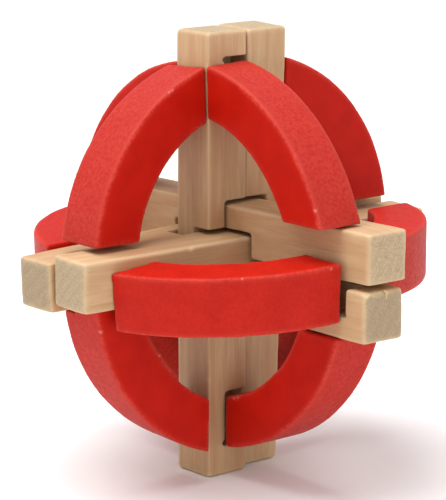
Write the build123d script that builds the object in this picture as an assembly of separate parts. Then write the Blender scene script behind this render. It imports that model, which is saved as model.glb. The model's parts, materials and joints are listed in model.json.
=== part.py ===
from build123d import *
import os

# Six-stick wooden burr puzzle whose twelve quarter-ring arcs make it a ball.
# Millimetres, +Z up, origin at the centre of the ball. Three pairs of square sticks cross at
# the centre, one pair along each axis. Every arc is glued by one end to one stick and stops
# just short of the next pair, so each stick and its arcs move as one piece.
# Front is +X (the end that the key leaves by), right is +Y.

# ---- sticks ----
STICK = 10.0               # side of the square section
STICK_LENGTH = 90.6        # the two cross sticks and the two posts
KEY_LENGTH = 88.8          # the sticks along X are shorter at the back
KEY_AHEAD = 1.3            # how far forward of the centre the key's middle is
SLOTTED_LENGTH = 88.4
SLOTTED_AHEAD = 1.1
STICK_EDGE = 0.3           # rounding of the long edges
STICK_TIP = 0.55           # rounding round the end faces

# ---- arcs ----
RING_OUTER = 39.6
RING_INNER = 29.0
RING_WIDTH = 11.8          # measured across the ball's surface
RING_EDGE = 0.5            # rounding of the long edges
RING_TIP = 0.3             # rounding round the free end

# ---- the notches that let the sticks cross ----
LAP_HALF = 11.6            # half the length of each long notch
LAP_TOP = 11.3             # how far up the posts' long notch goes
LAP_DEPTH = 5.1            # in the two cross sticks
POST_LAP = 5.7             # in the two posts
KEYWAY_HALF = 5.8          # half the height of the posts' notch round the key
SLOT_NEAR = 5.0            # the slotted stick's two slots, measured from the centre
SLOT_FAR = 11.2
SLOT_DEPTH = 6.2

# ---- the small notches that let an arc's end pass during assembly ----
RELIEF_START = 28.0        # measured from the centre, along the stick
RELIEF_UP = 40.1           # where the front post's upper one ends
RELIEF_DOWN = 39.2         # and its lower one
RELIEF_SIDE = 39.8         # and both of the lower cross stick's
RELIEF_WIDTH = 5.6
RELIEF_DEPTH = 4.8
EAR = 1.0                  # side of the saw's overcut in the outer corner

HALF = STICK / 2
BEYOND = STICK_LENGTH      # further out than any solid, for cutting right through
FRONT, BACK = (1, 0, 0), (-1, 0, 0)
RIGHT, LEFT = (0, 1, 0), (0, -1, 0)
UP, DOWN = (0, 0, 1), (0, 0, -1)


def block(low, high):
    """A plain box between two opposite corners."""
    size = [top - bottom for bottom, top in zip(low, high)]
    centre = [(top + bottom) / 2 for bottom, top in zip(low, high)]
    return Pos(*centre) * Box(*size)


def stick(along, centre, length=STICK_LENGTH):
    """A square stick along an axis, with its edges eased."""
    size = [STICK, STICK, STICK]
    size["XYZ".index(along)] = length
    axis = {"X": Axis.X, "Y": Axis.Y, "Z": Axis.Z}[along]
    bar = Box(*size)
    bar = fillet(bar.edges().filter_by(axis), STICK_EDGE)
    ends = bar.faces().filter_by(axis)
    bar = fillet([edge for face in ends for edge in face.edges()], STICK_TIP)
    return Pos(*centre) * bar


def arc(reach, root, face, tip, offset=0.0, twist=0.0, slip=(0, 0), width=RING_WIDTH):
    """A quarter ring glued to a stick.

    root is the direction of the stick's end that carries it, and reach is the direction of the
    pair that it points at. face is the distance of the glued end from the centre along reach,
    and tip is the distance of the free end along root. offset moves the ring's plane off the
    centre, twist turns it on the face that it is glued to, so that its rooted end moves along the
    positive axis, and slip moves its centre along reach and root.
    """
    normal = Vector(reach).cross(Vector(root))
    side = normal.X + normal.Y + normal.Z
    ring = Cylinder(RING_OUTER, width) - Cylinder(RING_INNER, width + 1)
    ring = Rot(X=side * twist) * Pos(*slip, side * offset) * ring
    quarter = ring & block((face, tip, -BEYOND), (BEYOND, BEYOND, BEYOND))
    rims = [edge for edge in quarter.edges().filter_by(GeomType.CIRCLE) if edge.length > RING_INNER]
    quarter = fillet(rims, RING_EDGE)
    free_end = quarter.faces().sort_by(Axis.Y)[0]
    quarter = fillet(free_end.edges(), RING_TIP)
    return Plane(origin=(0, 0, 0), x_dir=reach, z_dir=normal).location * quarter


def lap_notch(side):
    """The half-lap that a cross stick needs to straddle the pair along X."""
    low, high = sorted((-side, side * LAP_DEPTH))
    return block((-STICK, -LAP_HALF, low), (STICK, LAP_HALF, high))


def post_notches(side):
    """The notches that leave a post only a thin column beside the key."""
    low, high = sorted((-side, side * POST_LAP))
    lap = block((low, -STICK, -LAP_HALF), (high, STICK, LAP_TOP))
    keyway = block((-BEYOND, 0, -KEYWAY_HALF), (BEYOND, STICK, KEYWAY_HALF))
    return lap + keyway


def relief(end):
    """One relief notch of the front post, at its upper (1) or lower (-1) end."""
    stop = RELIEF_UP if end > 0 else RELIEF_DOWN
    low, high = sorted((end * RELIEF_START, end * stop))
    notch = block((-1, HALF - RELIEF_DEPTH, low), (RELIEF_WIDTH, STICK, high))
    ear = Pos(RELIEF_WIDTH, HALF, end * (stop - EAR / 2)) * Rot(Y=45) * Box(EAR, 2 * RELIEF_DEPTH, EAR)
    return notch + ear


def side_relief(end):
    """One relief notch of the lower cross stick, at its right (1) or left (-1) end."""
    low, high = sorted((end * RELIEF_START, end * RELIEF_SIDE))
    return block((HALF - RELIEF_DEPTH, low, -RELIEF_WIDTH), (STICK, high, 1))


# ---- the six pieces, each a stick with the arcs glued to it ----
def key_piece():
    """The only stick with no notches. It locks the puzzle and comes out first, forwards."""
    under = arc(DOWN, FRONT, face=HALF, tip=13.3, offset=3.2, twist=-1.7, slip=(0.6, 1.6))
    # clears the lower edge of the slotted stick beside it
    rebate = block((0, -STICK, -7.2), (BEYOND, 0, 0))
    return {
        "key_stick": stick("X", (KEY_AHEAD, HALF, 0), KEY_LENGTH),
        "front_right_arc": arc(RIGHT, FRONT, face=STICK, tip=6.3, twist=-5.0, slip=(-0.5, 1.0)),
        "bottom_front_arc": under - rebate,
    }


def slotted_piece():
    """The stick beside the key, with a slot for each post."""
    bar = stick("X", (SLOTTED_AHEAD, -HALF, 0), SLOTTED_LENGTH)
    for low, high in ((SLOT_NEAR, SLOT_FAR), (-SLOT_FAR, -SLOT_NEAR)):
        bar -= block((low, -SLOT_DEPTH, -STICK), (high, STICK, STICK))
    return {
        "slotted_stick": bar,
        "front_left_arc": arc(LEFT, FRONT, face=STICK, tip=7.2),
        "back_left_arc": arc(LEFT, BACK, face=STICK, tip=6.2),
    }


def upper_piece():
    """The upper of the two cross sticks."""
    return {
        "upper_cross_stick": stick("Y", (0, 0, HALF)) - lap_notch(1),
        "back_right_arc": arc(BACK, RIGHT, face=HALF, tip=12.6, offset=0.6),
    }


def lower_piece():
    """The lower of the two cross sticks."""
    bar = stick("Y", (0, 0, -HALF)) - lap_notch(-1)
    for end in (1, -1):
        bar -= side_relief(end)
    return {
        "lower_cross_stick": bar,
        "bottom_right_arc": arc(DOWN, RIGHT, face=STICK, tip=6.0, offset=0.8, twist=-1.7, slip=(-0.6, 0)),
        "bottom_left_arc": arc(DOWN, LEFT, face=STICK, tip=8.0),
    }


def front_piece():
    """The front post. The puzzle stands on it and on the back post."""
    post = stick("Z", (HALF, 0, 0)) - post_notches(1)
    for end in (1, -1):
        post -= relief(end)
    top_left = arc(LEFT, UP, face=HALF, tip=11.6, offset=3.9, slip=(0, -0.5))
    # clears the back post, which the arc's glued end overhangs
    rebate = block((-BEYOND, -HALF - 0.7, 0), (0.2, 0, BEYOND))
    return {
        "front_post": post,
        "top_front_arc": arc(FRONT, UP, face=STICK, tip=6.0, offset=0.4, twist=-3.0, slip=(-0.7, 0.2)),
        "top_right_arc": arc(RIGHT, UP, face=HALF, tip=10.9, offset=4.1, twist=1.9, width=10.7),
        "top_left_arc": top_left - rebate,
    }


def back_piece():
    """The back post."""
    return {
        "back_post": stick("Z", (-HALF, 0, 0)) - post_notches(-1),
        "top_back_arc": arc(BACK, UP, face=STICK, tip=7.0, offset=-0.6, slip=(-0.3, 0.7)),
        "bottom_back_arc": arc(BACK, DOWN, face=STICK, tip=6.3),
    }


def seat(nodes, pivot=(0, 0, 0), shift=(0, 0, 0), turn=(0, 0, 0)):
    """Moves one piece to where it has settled in the slack of the others."""
    about = Pos(*pivot) * Rot(*turn) * Pos(*[-value for value in pivot])
    return {name: Pos(*shift) * about * solid for name, solid in nodes.items()}


def puzzle():
    """All the nodes, every piece leaning a little in its slack as a loose puzzle does."""
    return {
        **seat(key_piece(), pivot=(0, HALF, 0), shift=(-1.0, 0.5, -0.1), turn=(-1.5, 0, 0)),
        **seat(slotted_piece(), pivot=(0, -HALF, 0), shift=(0, -0.4, -0.2), turn=(0, 2.0, 0.6)),
        **seat(upper_piece(), shift=(0.1, 0, 0.55), turn=(0, 0, 1.3)),
        **seat(lower_piece(), shift=(0, 0, -0.65)),
        **seat(front_piece()),
        **seat(back_piece(), shift=(-0.15, -1.0, 0.13), turn=(-1.5, 0, 0)),
    }


os.makedirs("parts", exist_ok=True)
for name, solid in puzzle().items():
    export_step(solid, f"parts/{name}.step")
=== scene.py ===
import json

import bmesh
import bpy
import numpy as np
from mathutils import Matrix, Vector


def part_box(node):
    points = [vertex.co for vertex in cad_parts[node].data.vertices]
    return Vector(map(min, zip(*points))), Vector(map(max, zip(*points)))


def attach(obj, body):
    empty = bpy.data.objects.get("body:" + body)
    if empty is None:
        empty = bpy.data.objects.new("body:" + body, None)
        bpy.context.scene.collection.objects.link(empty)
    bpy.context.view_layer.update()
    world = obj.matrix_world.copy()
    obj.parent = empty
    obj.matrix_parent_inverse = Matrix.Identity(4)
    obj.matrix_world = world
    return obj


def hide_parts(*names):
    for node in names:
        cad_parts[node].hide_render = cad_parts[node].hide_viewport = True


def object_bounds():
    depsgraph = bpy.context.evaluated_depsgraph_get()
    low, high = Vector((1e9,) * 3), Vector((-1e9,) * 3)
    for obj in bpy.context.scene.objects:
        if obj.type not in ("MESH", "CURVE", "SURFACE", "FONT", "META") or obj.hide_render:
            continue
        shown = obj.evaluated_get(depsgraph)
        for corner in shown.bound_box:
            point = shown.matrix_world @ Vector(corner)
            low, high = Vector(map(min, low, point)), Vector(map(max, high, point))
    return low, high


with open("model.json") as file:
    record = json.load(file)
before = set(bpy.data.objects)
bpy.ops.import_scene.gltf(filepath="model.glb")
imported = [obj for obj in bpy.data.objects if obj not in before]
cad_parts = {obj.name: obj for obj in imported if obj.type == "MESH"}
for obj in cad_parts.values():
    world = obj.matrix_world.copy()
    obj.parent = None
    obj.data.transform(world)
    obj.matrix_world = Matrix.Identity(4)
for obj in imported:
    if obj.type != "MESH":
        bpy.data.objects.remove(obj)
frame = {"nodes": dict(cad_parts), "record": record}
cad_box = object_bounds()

# A wooden burr puzzle: six pale sticks and twelve red arcs. Metres, +Z up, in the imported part's
# own frame, where the key leaves along +X. Each CAD node is replaced by an evenly meshed copy
# whose edges are worn and whose faces are a little uneven. The copy is pressed in from the node's
# surface and keeps inside the part's box. The one piece with no node is a torn end's splinter.

MM = 0.001

# ---- what each piece is ----
GRAIN = {
    "key_stick": "X",
    "slotted_stick": "X",
    "upper_cross_stick": "Y",
    "lower_cross_stick": "Y",
    "front_post": "Z",
    "back_post": "Z",
}
# how bright the sawn ends are, where it isn't 1
END_TONES = {
    "key_stick": 0.92,
    "slotted_stick": 0.78,
    "upper_cross_stick": 1.08,
    "lower_cross_stick": 0.82,
}
# how chalky the curved faces are, where it isn't 1; their chalky pink is partly a painted sheen from
# the light above, so it is less on the level front arc and the bottom arcs, which face away from that
# light
CHALK_AND_SHEEN = {"front_right_arc": 0.30, "bottom_front_arc": 0.60, "bottom_right_arc": 0.70}
BODY_NODES = frame["record"]["behaviour"]["bodies"]
BODY_OF = {node: body for body, nodes in BODY_NODES.items() for node in nodes}

# ---- how finely the copies are meshed, and how far they are worn ----
WELD = 0.001 * MM
CELL = 0.38 * MM
SETTLE_ROUNDS = 1          # takes out the ripple that remeshing leaves
SETTLE_STEP = 0.5
SOFT_ROUNDS = 6            # the roundest that a worn edge gets
SOFT_STEP = 0.6
# the paler band along the edges is worn and partly a painted highlight
EDGE_ROUNDS = 3            # how far from an edge its paler band reaches
EDGE_FULL = 0.10 * MM      # how far an edge point moves under EDGE_ROUNDS on a full corner
WEAR_SIZE = 5.0 * MM       # length of the worn and the crisp stretches of an edge
WEAR_SPAN = (-0.5, 0.6)    # the noise at which an edge is crisp, and at which it is worn most
STICK_WEAR = (0.10, 0.9)   # least and most wear of a stick's edges
STICK_MIDDLE = 0.6         # how much less of it a stick gets away from its ends
END_REACH = 2.2 * MM       # how far from its ends a stick is rubbed rounder
ARC_WEAR = (0.0, 0.35)
GLUE_SHARE = 0.25          # how much of its wear an arc gets beside the glue
GLUE_REACH = 1.6 * MM      # how far from the glue an arc keeps its sawn edges

# ---- how uneven the faces are ----
STICK_WAVE = 9 * MM        # length of the waves in a stick's faces
STICK_PRESS = 0.045        # mm that a stick's faces are pressed in, and the height of the waves
FIBRE_ACROSS = 0.9 * MM
FIBRE_LENGTH = 14 * MM
FIBRE_HEIGHT = 0.022       # mm
ARC_WAVE = 7 * MM
ARC_PRESS = 0.05           # mm, and the height of the waves
ARC_GRAIN = 1.1 * MM
FLAT_GRAIN = 0.006         # mm, height of the grain on an arc's flat sides
CURVED_GRAIN = 0.022       # mm, added to it on the curved faces

# ---- nicks along the edges: how many to a piece, their radius and their depth ----
STICK_NICKS = (6, 0.8 * MM, 0.16 * MM)
STICK_NICK_PALE = 0.5      # how much of the torn wood's colour a stick's nick shows
ARC_NICKS = (3, 0.40 * MM, 0.07 * MM)
NICK_EDGE = 0.45           # how near an edge a nick has to be, as worn() measures it
NICK_SIZES = (0.6, 1.3)

# ---- camera and light ----
VIEW_BACK = Vector((0.978 * 0.638, 0.978 * 0.770, 0.207))
VIEW_RIGHT = Vector((-0.770, 0.638, 0.0))
VIEW_UP = VIEW_BACK.cross(VIEW_RIGHT)
CAMERA_DISTANCE = 0.5
CAMERA_LENS = 177.4
CAMERA_SENSOR = 36.0
AIM_RIGHT = -1.63 * MM
AIM_UP = -0.135 * MM

LATTICE_SIZE = 32
LATTICE = np.random.default_rng(11).uniform(-1, 1, (LATTICE_SIZE,) * 3)
SEED_STEP = 7.31           # how far apart in the lattice two seeds look


# ---- noise and smoothing on arrays of points ----
def noise_at(points, size, seed):
    """Smooth noise from -1 to 1 whose features have this size, one number or one per axis."""
    place = points / np.array(size) + SEED_STEP * seed
    cell = np.floor(place).astype(int)
    part = place - cell
    part = part * part * (3 - 2 * part)
    total = np.zeros(len(points))
    for corner in np.ndindex(2, 2, 2):
        i, j, k = ((cell + corner) % LATTICE_SIZE).T
        total += np.prod(np.where(corner, part, 1 - part), axis=1) * LATTICE[i, j, k]
    return total


def ramp(values, low, high):
    """0 below low, 1 above high, and smooth between them."""
    share = np.clip((values - low) / (high - low), 0, 1)
    return share * share * (3 - 2 * share)


def relaxed(points, edges, rounds, step):
    """The points after each has moved towards the middle of its neighbours some times."""
    near = np.concatenate([edges[:, 0], edges[:, 1]])
    far = np.concatenate([edges[:, 1], edges[:, 0]])
    count = np.bincount(near, minlength=len(points))[:, None]
    for _ in range(rounds):
        sums = [np.bincount(near, points[far, axis], len(points)) for axis in range(3)]
        points = points + step * (np.stack(sums, axis=1) / count - points)
    return points


# ---- meshes ----
def even_mesh(node):
    """A closed copy of a CAD node in cells of one size."""
    mesh = frame["nodes"][node].data.copy()
    work = bmesh.new()
    work.from_mesh(mesh)
    bmesh.ops.remove_doubles(work, verts=work.verts, dist=WELD)
    work.to_mesh(mesh)
    work.free()
    raw = bpy.data.objects.new(node + "_raw", mesh)
    bpy.context.scene.collection.objects.link(raw)
    cells = raw.modifiers.new("cells", "REMESH")
    cells.mode = "VOXEL"
    cells.voxel_size = CELL
    depsgraph = bpy.context.evaluated_depsgraph_get()
    even = bpy.data.meshes.new_from_object(raw.evaluated_get(depsgraph))
    bpy.data.objects.remove(raw)
    even.materials.clear()
    return even


def read_points(mesh):
    points = np.zeros(len(mesh.vertices) * 3)
    mesh.vertices.foreach_get("co", points)
    return points.reshape(-1, 3)


def write_points(mesh, points):
    mesh.vertices.foreach_set("co", points.astype(np.float32).ravel())
    mesh.update()


def read_normals(mesh):
    normals = np.zeros(len(mesh.vertices) * 3)
    mesh.vertex_normals.foreach_get("vector", normals)
    return normals.reshape(-1, 3)


def read_edges(mesh):
    edges = np.zeros(len(mesh.edges) * 2, int)
    mesh.edges.foreach_get("vertices", edges)
    return edges.reshape(-1, 2)


def store(mesh, name, values):
    """Keeps one number per point, for the material to read."""
    attribute = mesh.attributes.new(name, "FLOAT", "POINT")
    attribute.data.foreach_set("value", values.astype(np.float32))


def worn(mesh, seed, wear, share):
    """Wears the edges unevenly. Returns the points, their normals, and how near an edge each is.

    wear is the least and the most wear, and share gives how much of it each of some points gets.
    """
    least, most = wear
    edges = read_edges(mesh)
    start = read_points(mesh)
    amount = least + (most - least) * ramp(noise_at(start, WEAR_SIZE, seed), *WEAR_SPAN)
    amount *= share(start)
    settled = relaxed(start, edges, SETTLE_ROUNDS, SETTLE_STEP)
    soft = relaxed(settled, edges, SOFT_ROUNDS, SOFT_STEP)
    points = settled + amount[:, None] * (soft - settled)
    write_points(mesh, points)
    normals = read_normals(mesh)
    inward = points - relaxed(points, edges, EDGE_ROUNDS, SOFT_STEP)
    edge = np.clip(np.einsum("ij,ij->i", inward, normals) / EDGE_FULL, 0, 1)
    return points, normals, edge


def dent(points, normals, spots, bare):
    """Presses small hollows into the surface, and marks them as bare.

    Each spot is a place, a radius and a depth.
    """
    for place, radius, depth in spots:
        near = 1 - np.linalg.norm(points - np.array(place), axis=1) / radius
        share = ramp(near, 0, 1)
        points -= (depth * share)[:, None] * normals
        bare[:] = np.maximum(bare, ramp(near, 0.1, 0.6))
    return points


def edge_spots(points, edge, nicks, seed):
    """Random nicks along the edges, as spots for dent()."""
    count, radius, depth = nicks
    random = np.random.default_rng(seed)
    likely = np.flatnonzero(edge > NICK_EDGE)
    picked = random.choice(likely, count, replace=False)
    sizes = random.uniform(*NICK_SIZES, count)
    return [(points[i], radius * size, depth * size) for i, size in zip(picked, sizes)]


def finished(node, mesh, material):
    """Puts a worked mesh in a CAD node's place."""
    mesh.polygons.foreach_set("use_smooth", np.ones(len(mesh.polygons), bool))
    mesh.materials.append(material)
    piece = bpy.data.objects.new("worn_" + node, mesh)
    bpy.context.scene.collection.objects.link(piece)
    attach(piece, BODY_OF[node])
    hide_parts(node)


# ---- materials ----
class Shade:
    """A small helper that adds nodes to one material and links them."""

    def __init__(self, name):
        self.material = bpy.data.materials.new(name)
        self.material.use_nodes = True
        self.tree = self.material.node_tree
        self.shader = self.tree.nodes["Principled BSDF"]
        self.place = self.add("ShaderNodeTexCoord").outputs["Object"]

    def add(self, kind, **settings):
        """A new node, with these of its settings changed."""
        node = self.tree.nodes.new(kind)
        for key, value in settings.items():
            setattr(node, key, value)
        return node

    def link(self, value, socket):
        """Links an output, or sets a constant."""
        if isinstance(value, bpy.types.NodeSocket):
            self.tree.links.new(value, socket)
        else:
            socket.default_value = value

    def mapped(self, scale, shift=(0, 0, 0), turn=(0, 0, 0)):
        """The place on the piece, scaled, shifted and turned."""
        node = self.add("ShaderNodeMapping")
        self.link(self.place, node.inputs["Vector"])
        node.inputs["Scale"].default_value = scale
        node.inputs["Location"].default_value = shift
        node.inputs["Rotation"].default_value = turn
        return node.outputs["Vector"]

    def noise(self, vector, detail, rough=0.55):
        """Noise whose features are one unit of this vector across."""
        node = self.add("ShaderNodeTexNoise")
        self.link(vector, node.inputs["Vector"])
        node.inputs["Scale"].default_value = 1.0
        node.inputs["Detail"].default_value = detail
        node.inputs["Roughness"].default_value = rough
        return node.outputs["Fac"]

    def math(self, operation, first, second):
        node = self.add("ShaderNodeMath", operation=operation)
        self.link(first, node.inputs[0])
        self.link(second, node.inputs[1])
        return node.outputs[0]

    def between(self, value, low, high, start=0.0, end=1.0):
        """Maps low..high to start..end, and holds it there outside."""
        node = self.add("ShaderNodeMapRange", interpolation_type="SMOOTHSTEP")
        self.link(value, node.inputs["Value"])
        for key, number in zip(("From Min", "From Max", "To Min", "To Max"), (low, high, start, end)):
            node.inputs[key].default_value = number
        return node.outputs["Result"]

    def mix(self, share, first, second):
        """Blends two colours."""
        node = self.add("ShaderNodeMix", data_type="RGBA")
        self.link(share, node.inputs["Factor"])
        self.link(first, node.inputs[6])
        self.link(second, node.inputs[7])
        return node.outputs[2]

    def stored(self, name):
        """A number kept on the mesh's points."""
        return self.add("ShaderNodeAttribute", attribute_name=name).outputs["Fac"]

    def bump(self, height, distance, strength, under=None):
        """A normal roughened by this height, on top of another one if it is given."""
        node = self.add("ShaderNodeBump")
        self.link(height, node.inputs["Height"])
        node.inputs["Distance"].default_value = distance
        node.inputs["Strength"].default_value = strength
        if under is not None:
            self.link(under, node.inputs["Normal"])
        return node.outputs["Normal"]


def bare_wood(name, along, seed, end_tone=1.0):
    """Pale sanded wood: rings about a far-off pith, fibres, flecks, greyer end grain, pale edges that
    are worn and partly a painted highlight.

    along is the direction of the grain, and end_tone makes the sawn ends darker or brighter.
    """
    shade = Shade(name)
    random = np.random.default_rng(seed)
    lengthwise = "XYZ".index(along)

    def stretched(across, length):
        scale = [across, across, across]
        scale[lengthwise] = length
        return scale

    pith = random.uniform(18, 34, 3) * MM * random.choice([-1, 1], 3)
    pith[lengthwise] = 0
    tilt = [0.0, 0.0, 0.0]
    tilt[(lengthwise + 1) % 3] = random.uniform(-0.035, 0.035)
    rings = shade.add("ShaderNodeTexWave", wave_type="RINGS", rings_direction=along, wave_profile="SAW")
    shade.link(shade.mapped((1, 1, 1), pith, tilt), rings.inputs["Vector"])
    rings.inputs["Scale"].default_value = random.uniform(120, 170)
    rings.inputs["Distortion"].default_value = 1.6
    rings.inputs["Detail"].default_value = 2.0
    rings.inputs["Detail Scale"].default_value = 0.6

    shift = random.uniform(-1, 1, 3)
    fibre = shade.noise(shade.mapped(stretched(3400, 130), shift), detail=4.0, rough=0.65)
    streak = shade.noise(shade.mapped(stretched(900, 26), shift), detail=3.0)
    cloud = shade.noise(shade.mapped(stretched(150, 45), shift), detail=2.0)
    fleck = shade.noise(shade.mapped(stretched(2600, 900), shift), detail=1.0)
    pores = shade.noise(shade.mapped((2600, 2600, 2600), shift), detail=3.0, rough=0.7)

    pale = (0.585, 0.400, 0.222, 1)
    tan = (0.440, 0.250, 0.115, 1)
    pinkish = (0.500, 0.295, 0.150, 1)
    colour = shade.mix(shade.between(cloud, 0.3, 0.7), pale, pinkish)
    colour = shade.mix(shade.between(rings.outputs["Fac"], 0.35, 1.0, 0.0, 0.30), colour, tan)
    colour = shade.mix(shade.between(streak, 0.42, 0.68, 0.0, 0.40), colour, tan)

    dark = (0.380, 0.205, 0.100, 1)
    colour = shade.mix(shade.between(fibre, 0.48, 0.74, 0.0, 0.40), colour, dark)
    colour = shade.mix(shade.between(fleck, 0.66, 0.80, 0.0, 0.30), colour, dark)

    end = shade.stored("end_grain")
    grey = (0.450 * end_tone, 0.345 * end_tone, 0.215 * end_tone, 1)
    greyer = (0.300 * end_tone, 0.215 * end_tone, 0.125 * end_tone, 1)
    end_rings = shade.between(rings.outputs["Fac"], 0.4, 1.0, 0.0, 0.28)
    end_colour = shade.mix(shade.between(pores, 0.40, 0.68), grey, greyer)
    end_colour = shade.mix(end_rings, end_colour, greyer)
    colour = shade.mix(shade.math("MULTIPLY", end, 0.85), colour, end_colour)

    # paler edges: worn wood and partly a painted highlight along the rounded edges
    rubbed_and_highlit_edge = (0.640, 0.480, 0.290, 1)
    edge = shade.math("MULTIPLY", shade.stored("edge"), shade.between(streak, 0.3, 0.6, 0.35, 0.8))
    colour = shade.mix(edge, colour, rubbed_and_highlit_edge)
    torn = (0.640, 0.490, 0.290, 1)
    colour = shade.mix(shade.stored("bare"), colour, torn)

    shade.link(colour, shade.shader.inputs["Base Color"])
    shade.link(shade.between(fibre, 0.3, 0.75, 0.50, 0.68), shade.shader.inputs["Roughness"])
    end_pores = shade.math("MULTIPLY", pores, end)
    height = shade.math("ADD", fibre, shade.math("MULTIPLY", end_pores, 1.2))
    normal = shade.bump(height, 0.07 * MM, 0.55)
    shade.link(normal, shade.shader.inputs["Normal"])
    shade.shader.inputs["Specular IOR Level"].default_value = 0.35
    return shade.material


def red_paint(name):
    """Matt red on wood: smooth and deep on the flat sides, mottled and pinker on the curves, where the
    pink is partly a painted sheen from the light above; the edges are paler, worn and partly a painted
    highlight.
    """
    shade = Shade(name)
    # the curved faces, weighted per arc by its chalk and painted sheen
    curved = shade.stored("curved")
    broad = shade.noise(shade.mapped((210, 210, 210)), detail=3.0)
    mottle = shade.noise(shade.mapped((1500, 1500, 1500)), detail=4.0, rough=0.7)
    grit = shade.noise(shade.mapped((4200, 4200, 4200)), detail=2.0, rough=0.7)

    deep = (0.490, 0.0085, 0.0016, 1)
    deeper = (0.430, 0.0065, 0.0012, 1)
    bright_speck = (0.54, 0.020, 0.009, 1)
    flat_colour = shade.mix(shade.between(broad, 0.3, 0.7), deep, deeper)
    flat_colour = shade.mix(shade.between(grit, 0.55, 0.80, 0.0, 0.25), flat_colour, bright_speck)

    # the pale pink of rough paint on the curves, partly a painted sheen from the light above
    chalky_sheen = (0.475, 0.036, 0.026, 1)
    stained = (0.395, 0.015, 0.008, 1)
    pink_speck = (0.60, 0.085, 0.068, 1)
    curve_colour = shade.mix(shade.between(mottle, 0.34, 0.70), chalky_sheen, stained)
    curve_colour = shade.mix(shade.between(broad, 0.35, 0.70, 0.0, 0.30), curve_colour, stained)
    curve_colour = shade.mix(shade.between(grit, 0.50, 0.78, 0.0, 0.25), curve_colour, pink_speck)
    colour = shade.mix(curved, flat_colour, curve_colour)

    # paler edges: worn paint and partly a painted highlight along the edges
    rubbed_and_highlit_edge = (0.740, 0.150, 0.110, 1)
    edge = shade.math("MULTIPLY", shade.stored("edge"), shade.between(mottle, 0.35, 0.65, 0.05, 0.45))
    colour = shade.mix(edge, colour, rubbed_and_highlit_edge)
    showing = (0.860, 0.430, 0.330, 1)
    colour = shade.mix(shade.math("MULTIPLY", shade.stored("bare"), 0.40), colour, showing)
    shade.link(colour, shade.shader.inputs["Base Color"])

    rough = shade.between(mottle, 0.3, 0.7, 0.46, 0.60)
    shade.link(rough, shade.shader.inputs["Roughness"])
    height = shade.math("MULTIPLY", mottle, shade.between(curved, 0.0, 1.0, 0.25, 1.0))
    normal = shade.bump(height, 0.10 * MM, 0.45)
    normal = shade.bump(grit, 0.03 * MM, 0.40, normal)
    shade.link(normal, shade.shader.inputs["Normal"])
    shade.shader.inputs["Specular IOR Level"].default_value = 0.10
    return shade.material


# ---- the sticks ----
def stick_piece(node, seed):
    """One stick: edges worn round, faces a little wavy, fibres raised along the grain."""
    along = GRAIN[node]
    lengthwise = "XYZ".index(along)
    mesh = even_mesh(node)
    low, high = [corner[lengthwise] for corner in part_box(node)]

    def near_ends(places):
        inside = np.minimum(places[:, lengthwise] - low, high - places[:, lengthwise])
        return 1 - STICK_MIDDLE * ramp(inside, 0, END_REACH)

    points, normals, edge = worn(mesh, seed, STICK_WEAR, near_ends)
    bare = np.zeros(len(points))

    wave = noise_at(points, STICK_WAVE, seed + 1)
    fibre_size = np.full(3, FIBRE_ACROSS)
    fibre_size[lengthwise] = FIBRE_LENGTH
    fibre = noise_at(points, fibre_size, seed + 2)
    depth = STICK_PRESS + STICK_PRESS * wave + FIBRE_HEIGHT * fibre
    points -= normals * (depth * MM)[:, None]
    points = dent(points, normals, edge_spots(points, edge, STICK_NICKS, seed), bare)
    bare *= STICK_NICK_PALE
    if node == "lower_cross_stick":
        points = chip_end(points, normals, bare)

    write_points(mesh, points)
    end = ramp(np.abs(normals[:, lengthwise]), 0.75, 0.97)
    store(mesh, "end_grain", end)
    store(mesh, "edge", edge)
    store(mesh, "bare", bare)
    wood = bare_wood("wood_" + node, along, seed, END_TONES.get(node, 1.0))
    finished(node, mesh, wood)


# ---- the torn end of the lower cross stick ----
def chip_end(points, normals, bare):
    """Tears the upper edge of the right-hand end, from the front corner to past the middle."""
    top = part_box("lower_cross_stick")[1]
    random = np.random.default_rng(5)
    corner_gap = 0.7 * MM
    spacing = 0.62 * MM
    spots = []
    for step in range(9):
        drop = random.uniform(0.0, 0.35) * MM
        place = (top.x - corner_gap - spacing * step, top.y - 0.2 * MM, top.z - drop)
        radius = random.uniform(0.55, 1.0) * MM
        depth = random.uniform(0.25, 0.5) * MM
        spots.append((place, radius, depth))
    return dent(points, normals, spots, bare)


def splinter():
    """The sliver of wood that has lifted from the torn edge and hangs over the end."""
    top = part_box("lower_cross_stick")[1]
    paleness = 0.6
    line = bpy.data.curves.new("splinter", "CURVE")
    line.dimensions = "3D"
    line.bevel_depth = 0.20 * MM
    line.bevel_resolution = 3
    line.resolution_u = 10
    line.use_fill_caps = True
    spline = line.splines.new("NURBS")
    # mm along X, Y and Z from the end's upper front corner, from the root to the tip
    steps = [
        (-5.3, -0.48, -0.15),
        (-5.5, -0.16, -0.30),
        (-5.75, -0.11, -1.1),
        (-5.55, -0.13, -1.7),
        (-5.1, -0.20, -2.05),
    ]
    thickness = (1.3, 1.1, 0.95, 0.7, 0.25)
    spline.points.add(len(steps) - 1)
    for point, (across, out, up), radius in zip(spline.points, steps, thickness):
        point.co = (top.x + across * MM, top.y + out * MM, top.z + up * MM, 1)
        point.radius = radius
    spline.order_u = 4
    spline.use_endpoint_u = True
    curve = bpy.data.objects.new("splinter_line", line)
    bpy.context.scene.collection.objects.link(curve)
    depsgraph = bpy.context.evaluated_depsgraph_get()
    mesh = bpy.data.meshes.new_from_object(curve.evaluated_get(depsgraph))
    bpy.data.objects.remove(curve)
    mesh.polygons.foreach_set("use_smooth", np.ones(len(mesh.polygons), bool))
    mesh.materials.clear()
    mesh.materials.append(bare_wood("wood_splinter", "Z", 91))
    store(mesh, "bare", np.full(len(mesh.vertices), paleness))
    piece = bpy.data.objects.new("splinter", mesh)
    bpy.context.scene.collection.objects.link(piece)
    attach(piece, BODY_OF["lower_cross_stick"])


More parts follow.
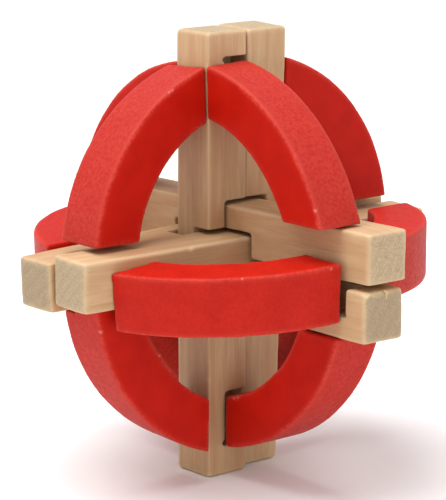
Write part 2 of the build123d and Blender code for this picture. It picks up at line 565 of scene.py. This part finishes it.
# ---- the arcs ----
def arc_piece(node, material, seed):
    """One painted arc: crisp edges that are soft in places, slightly wavy faces and small nicks."""
    mesh = even_mesh(node)
    low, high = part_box(next(name for name in BODY_NODES[BODY_OF[node]] if name in GRAIN))

    def clear_of_glue(places):
        gap = np.maximum(np.maximum(np.array(low) - places, places - np.array(high)), 0)
        away = ramp(np.linalg.norm(gap, axis=1), 0, GLUE_REACH)
        return GLUE_SHARE + (1 - GLUE_SHARE) * away

    points, normals, edge = worn(mesh, seed, ARC_WEAR, clear_of_glue)
    edge *= clear_of_glue(points)
    outward = points / np.linalg.norm(points, axis=1)[:, None]
    curved = ramp(np.abs(np.einsum("ij,ij->i", outward, normals)), 0.70, 0.93)
    bare = np.zeros(len(points))

    wave = noise_at(points, ARC_WAVE, seed + 1)
    grain = noise_at(points, ARC_GRAIN, seed + 2)
    depth = ARC_PRESS + ARC_PRESS * wave + (FLAT_GRAIN + CURVED_GRAIN * curved) * grain
    points -= normals * (depth * MM)[:, None]
    points = dent(points, normals, edge_spots(points, edge, ARC_NICKS, seed), bare)

    write_points(mesh, points)
    # the curved mask, weighted per arc by its chalk and painted sheen
    store(mesh, "curved", curved * CHALK_AND_SHEEN.get(node, 1.0))
    store(mesh, "edge", edge)
    store(mesh, "bare", bare)
    finished(node, mesh, material)


# ---- the setting ----
def floor():
    """A wide pale floor under the puzzle's feet."""
    reach = 6.0
    height = cad_box[0][2]
    corners = [(x * reach, y * reach, height) for x, y in ((-1, -1), (1, -1), (1, 1), (-1, 1))]
    mesh = bpy.data.meshes.new("floor")
    mesh.from_pydata(corners, [], [(0, 1, 2, 3)])
    shade = Shade("pale_floor")
    shade.shader.inputs["Base Color"].default_value = (0.90, 0.90, 0.90, 1)
    shade.shader.inputs["Roughness"].default_value = 0.9
    mesh.materials.append(shade.material)
    plane = bpy.data.objects.new("floor", mesh)
    bpy.context.scene.collection.objects.link(plane)


def softbox(name, place, size, power):
    """A square white area light aimed at the puzzle."""
    light = bpy.data.lights.new(name, "AREA")
    light.shape = "SQUARE"
    light.size = size
    light.energy = power
    lamp = bpy.data.objects.new(name, light)
    lamp.location = place
    lamp.rotation_euler = Vector(place).to_track_quat("Z", "Y").to_euler()
    bpy.context.scene.collection.objects.link(lamp)


def surroundings():
    """Even white light from all round."""
    world = bpy.data.worlds.new("studio")
    world.use_nodes = True
    sky = world.node_tree.nodes["Background"]
    sky.inputs["Color"].default_value = (1.0, 1.0, 1.0, 1)
    sky.inputs["Strength"].default_value = 0.77
    bpy.context.scene.world = world
    bpy.context.scene.view_settings.view_transform = "Standard"


def camera():
    """Looks down on the front right-hand corner."""
    lens = bpy.data.cameras.new("camera")
    lens.lens = CAMERA_LENS
    lens.sensor_width = CAMERA_SENSOR
    lens.clip_start = 0.01
    eye = bpy.data.objects.new("camera", lens)
    turn = Matrix((VIEW_RIGHT, VIEW_UP, VIEW_BACK)).transposed().to_4x4()
    place = CAMERA_DISTANCE * VIEW_BACK + AIM_RIGHT * VIEW_RIGHT + AIM_UP * VIEW_UP
    eye.matrix_world = Matrix.Translation(place) @ turn
    bpy.context.scene.collection.objects.link(eye)
    bpy.context.scene.camera = eye


camera()
floor()
surroundings()
softbox("key", 1.0 * VIEW_UP + 0.30 * VIEW_BACK - 0.25 * VIEW_RIGHT, size=0.9, power=14)
softbox("fill", 0.25 * VIEW_UP + 0.8 * VIEW_BACK + 0.6 * VIEW_RIGHT, size=0.8, power=1)

for number, name in enumerate(GRAIN):
    stick_piece(name, 100 + 10 * number)
splinter()
paint = red_paint("red_paint")
arcs = sorted(name for name in frame["nodes"] if name.endswith("_arc"))
for number, name in enumerate(arcs):
    arc_piece(name, paint, 300 + 10 * number)
